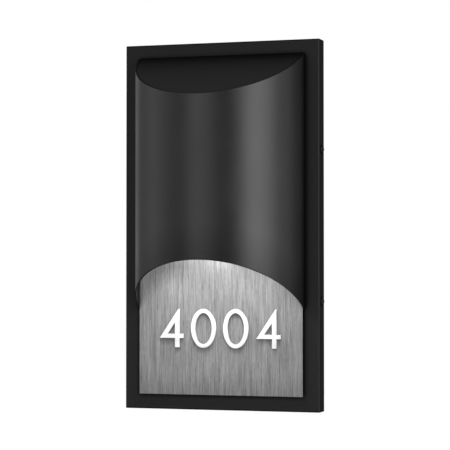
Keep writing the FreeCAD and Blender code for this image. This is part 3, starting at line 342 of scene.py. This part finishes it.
def zinc_plate(name, level, rough):
    """Bright zinc on steel: rolling lines, faint blue and straw clouds, small spangles."""
    look = Look(name)
    clouds = look.grain(0.018, detail=4.0)
    lines = look.grain(0.0009, stretch=(30, 30, 1))
    metal = look.blend(look.ranged(clouds, 0.0, 1.0), grey(level, ZINC_COOL), grey(level, ZINC_STRAW))
    look.set(Base_Color=look.blend(look.ranged(lines, 0.0, 0.35), metal, grey(level * LINE_TONE)))
    look.set(Metallic=1.0, Roughness=look.ranged(clouds, rough - 0.07, rough + 0.09))
    look.bumps(look.maths("ADD", lines, look.cells(0.0025)), depth=0.00003, strength=0.5)
    return look.material


def plated(name, colour, rough, metallic=1.0):
    """Small turned or stamped metal piece: tool marks round it and an uneven tarnish."""
    look = Look(name)
    tarnish = look.grain(0.004, detail=4.0)
    marks = look.grain(0.0004, stretch=(1, 1, 4))
    tarnish_and_shade = look.ranged(tarnish, 0.0, 1.0, start=0.4, end=0.75)
    look.set(Base_Color=look.blend(tarnish_and_shade, colour, scaled(colour, TARNISH_TONE)))
    look.set(Metallic=metallic, Roughness=look.ranged(tarnish, rough - 0.06, rough + 0.12))
    look.bumps(marks, depth=0.00002, strength=0.5)
    return look.material


def moulded(name, colour, rough):
    """Moulded plastic or rubber: a fine spark-eroded skin, faint flow clouds."""
    look = Look(name)
    clouds = look.grain(0.008, detail=3.0)
    look.set(Base_Color=look.blend(look.ranged(clouds, 0.0, 1.0), colour, scaled(colour, FLOW_TONE)))
    look.set(Roughness=look.ranged(look.grain(0.0021), rough - 0.05, rough + 0.07))
    look.bumps(look.grain(0.0007), depth=0.00003, strength=0.6)
    return look.material


def glazed(name, colour):
    """Glazed porcelain or glass: warm clouds and specks under a clear glossy glaze with a soft ripple."""
    look = Look(name)
    clouds = look.grain(0.01, detail=4.0)
    specks = look.ranged(look.grain(0.0008, detail=1.0), 0.0, 1.0, start=0.68, end=0.75)
    body = look.blend(look.ranged(clouds, 0.0, 1.0), colour, scaled(colour, GLAZE_TONE))
    look.set(Base_Color=look.blend(specks, body, GLAZE_SPECKS))
    look.set(Coat_Weight=1.0, Coat_Roughness=0.06)
    look.set(Roughness=look.ranged(clouds, 0.22, 0.34))
    look.bumps(look.grain(0.005), depth=0.00006, strength=0.4)
    return look.material


def frosted_globe(name, level, glow):
    """Frosted globe of a lit lamp: even glow, a little weaker towards the collar."""
    look = Look(name)
    low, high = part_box("lamp_globe")
    fading = look.ranged(look.position()["Z"], 1.0, COLLAR_GLOW, low.z, high.z)
    soft = look.ranged(look.grain(0.006, detail=3.0), *GLOW_CLOUDS)
    look.set(Base_Color=look.blend(look.grain(0.003), grey(level * GLOBE_TONE), grey(level)))
    look.set(Roughness=look.ranged(look.grain(0.001), 0.45, 0.6))
    look.set(Emission_Color=WHITE)
    look.set(Emission_Strength=look.maths("MULTIPLY", fading, soft, glow))
    look.bumps(look.grain(0.0008), depth=0.00002, strength=0.5)
    return look.material


# ---------------------------------------------------------------- finish of each slot

PAN_SKIN = {"skin": 0.0009, "relief": 0.000025, "crease_shade": PAN_CREASE_SHADE}
HOOD_SKIN = {"rough": 0.36, "gloss": 0.66, "skin": 0.0012, "relief": 0.000015, "crease_shade": HOOD_CREASE_SHADE}

SLOT_FINISHES = {
    "pan_black": (powder_coat, {"level": 0.0072, "rough": 0.5, "gloss": 0.3, **PAN_SKIN}),
    "hood_black": (powder_coat, {"level": 0.0105, "dimming": arch_dimming, **HOOD_SKIN}),
    "rivet_black": (powder_coat, {"level": 0.0105, "rough": 0.4, "gloss": 0.5, **PAN_SKIN}),
    "screw_black": (plated, {"colour": grey(0.004), "rough": 0.24, "metallic": 0.0}),
    "plate_brushed": (brushed_plate, {}),
    "foam_black": (closed_foam, {}),
    "digit_white": (white_enamel, {}),
    "bracket_zinc": (zinc_plate, {"level": 0.55, "rough": 0.33}),
    "fastener_zinc": (zinc_plate, {"level": 0.58, "rough": 0.28}),
    "ground_green": (plated, {"colour": GREEN, "rough": 0.34, "metallic": 0.6}),
    "bushing_black": (moulded, {"colour": BLACK_PLASTIC, "rough": 0.45}),
    "porcelain_white": (glazed, {"colour": (0.80, 0.78, 0.73)}),
    "shell_nickel": (plated, {"colour": (0.62, 0.58, 0.50), "rough": 0.26}),
    "contact_brass": (plated, {"colour": (0.68, 0.47, 0.17), "rough": 0.24}),
    "lamp_base_bright": (plated, {"colour": grey(0.62), "rough": 0.27}),
    "lamp_solder": (plated, {"colour": grey(0.45), "rough": 0.4}),
    "lamp_insulator": (glazed, {"colour": BLACK_PLASTIC}),
    "lamp_white": (moulded, {"colour": grey(0.82), "rough": 0.4}),
    "globe_frosted": (frosted_globe, {"level": 0.9, "glow": 25.5}),
    "grommet_black": (moulded, {"colour": grey(0.012), "rough": 0.62}),
    "block_white": (moulded, {"colour": (0.72, 0.72, 0.68), "rough": 0.42}),
    "ring_tinned": (plated, {"colour": grey(0.6), "rough": 0.3}),
    "lead_black": (moulded, {"colour": BLACK_PLASTIC, "rough": 0.38}),
    "lead_white": (moulded, {"colour": grey(0.75), "rough": 0.38}),
    "lead_green": (moulded, {"colour": GREEN, "rough": 0.38}),
}

# Painted light: the lid gets a lighter copy of the hood's coat.
LID_LIT_LEVEL = 0.016


def dress_nodes():
    """Gives every CAD node the finish of its material slot, and the lid a lighter copy of the hood's coat,
    with painted shade along its rim and towards the wall.
    """
    finishes = {slot: make(slot, **settings) for slot, (make, settings) in SLOT_FINISHES.items()}
    lid = powder_coat("hood_black_lid", LID_LIT_LEVEL, dimming=lid_seam_shade, **HOOD_SKIN)
    slots = {part["node"]: part["material_slot"] for part in frame["record"]["subparts"]}
    for name, node in frame["nodes"].items():
        node.data.materials.clear()
        node.data.materials.append(lid if name == "shade_cap" else finishes[slots[name]])


# ---------------------------------------------------------------- backdrop

FLOOR_DROP = 3.0
FLOOR_HALF = 8.0
FLOOR_TONES = (0.86, 0.9)
FLOOR_CLOUDS = 0.3
FLOOR_GLOW = 0.9

# How bright the world is for the sign itself, and for the camera.
ROOM_LEVEL = 0.06
BACKDROP_LEVEL = 1.0


def white_floor():
    """Plain pale floor, well under the sign that hangs above it, too far off to light it."""
    mesh = bpy.data.meshes.new("floor")
    turns = ((-1, -1), (1, -1), (1, 1), (-1, 1))
    corners = [(x * FLOOR_HALF, y * FLOOR_HALF, -FLOOR_DROP) for x, y in turns]
    mesh.from_pydata(corners, [], [(0, 1, 2, 3)])
    floor = bpy.data.objects.new("floor", mesh)
    bpy.context.scene.collection.objects.link(floor)
    look = Look("floor_white")
    look.set(Base_Color=look.blend(look.grain(FLOOR_CLOUDS), *map(grey, FLOOR_TONES)), Roughness=0.9)
    look.set(Emission_Color=WHITE, Emission_Strength=FLOOR_GLOW)
    mesh.materials.append(look.material)
    floor.visible_diffuse = False
    floor.visible_glossy = False


def studio_world():
    """White backdrop for the camera; the sign itself sees a dim room."""
    world = bpy.data.worlds.new("studio")
    bpy.context.scene.world = world
    world.use_nodes = True
    tree = world.node_tree
    tree.nodes.clear()
    output = tree.nodes.new("ShaderNodeOutputWorld")
    mix = tree.nodes.new("ShaderNodeMixShader")
    path = tree.nodes.new("ShaderNodeLightPath")
    tree.links.new(path.outputs["Is Camera Ray"], mix.inputs[0])
    for index, level in ((1, ROOM_LEVEL), (2, BACKDROP_LEVEL)):
        backdrop = tree.nodes.new("ShaderNodeBackground")
        backdrop.inputs["Color"].default_value = WHITE
        backdrop.inputs["Strength"].default_value = level
        tree.links.new(backdrop.outputs[0], mix.inputs[index])
    tree.links.new(mix.outputs[0], output.inputs["Surface"])


# ---------------------------------------------------------------- lights

# Tall strips stand in two rings round the sign: radiance by azimuth in degrees from -Y towards +X.
FAR_STRIP = {"width": 0.42, "height": 2.2, "distance": 1.6}
FAR_RADIANCE = {
    -150: 1.10, -130: 0.54, -110: 0.22, -95: 0.43, -80: 0.85, -65: 0.60, -50: 0.37, -35: 0.22, -20: 1.25,
    -5: 0.80, 38: 1.22, 62: 2.10, 90: 0.50, 105: 0.60, 120: 0.12,
}
NEAR_STRIP = {"width": 0.24, "height": 1.4, "distance": 0.9}
NEAR_RADIANCE = {50: 2.60, 75: 1.50}

# A weak box high up behind the sign, on its left.
TOP_BOX = {"azimuth": -147, "elevation": 55, "radiance": 0.04, "width": 0.9, "height": 0.9, "distance": 1.7}

# The strips and the box face this point, half way through the hood's depth.
LIT_POINT = Vector((0, -0.05, 0))

# Level with the underside of the lamp's globe, within the mouth of the hood.
SPILL_PLACE = Vector((0.038, -0.048, -0.026))
SPILL_WIDTH = 0.05
SPILL_DEPTH = 0.02
SPILL_SPREAD = math.radians(108)
SPILL_WATTS = 0.046


def area_light(name, width, height, watts):
    """A rectangular light that the camera doesn't see."""
    data = bpy.data.lights.new(name, "AREA")
    data.shape = "RECTANGLE"
    data.size, data.size_y = width, height
    data.energy = watts
    light = bpy.data.objects.new(data.name, data)
    light.visible_camera = False
    bpy.context.scene.collection.objects.link(light)
    return light


def softbox(name, azimuth, radiance, width, height, distance, elevation=0):
    """A rectangular light that faces the sign from a distance."""
    turn, tilt = math.radians(azimuth), math.radians(elevation)
    away = Vector((math.sin(turn) * math.cos(tilt), -math.cos(turn) * math.cos(tilt), math.sin(tilt)))
    light = area_light(name, width, height, radiance * math.pi * width * height)
    light.location = LIT_POINT + away * distance
    light.rotation_mode = "QUATERNION"
    light.rotation_quaternion = away.to_track_quat("Z", "Y")


def studio_lights():
    """The strips draw the hood's upright bands of light and whiten the numbers."""
    for azimuth, radiance in FAR_RADIANCE.items():
        softbox(f"far_strip_{azimuth}", azimuth, radiance, **FAR_STRIP)
    for azimuth, radiance in NEAR_RADIANCE.items():
        softbox(f"near_strip_{azimuth}", azimuth, radiance, **NEAR_STRIP)
    softbox("top_box", **TOP_BOX)


def lamp_spill():
    """Light that the hood gathers on both sides of the lamp and sends down along the plate."""
    for side in (-1, 1):
        light = area_light("lamp_spill", SPILL_WIDTH, SPILL_DEPTH, SPILL_WATTS)
        light.data.spread = SPILL_SPREAD
        light.location = (side * SPILL_PLACE.x, SPILL_PLACE.y, SPILL_PLACE.z)
        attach(light, "lamp")


# ---------------------------------------------------------------- camera


def camera():
    """The photograph's camera, fitted to the sign's corners, arch and outline."""
    data = bpy.data.cameras.new("camera")
    data.lens, data.sensor_width = LENS_MM, SENSOR_MM
    data.clip_start, data.clip_end = CLIP_NEAR, CLIP_FAR
    eye = bpy.data.objects.new("camera", data)
    eye.location = CAMERA_PLACE
    eye.rotation_mode = "QUATERNION"
    eye.rotation_quaternion = CAMERA_AIM.to_track_quat("-Z", "Y")
    bpy.context.scene.collection.objects.link(eye)
    bpy.context.scene.camera = eye


dress_nodes()
white_floor()
studio_world()
studio_lights()
lamp_spill()
camera()
bpy.context.scene.view_settings.view_transform = "Standard"
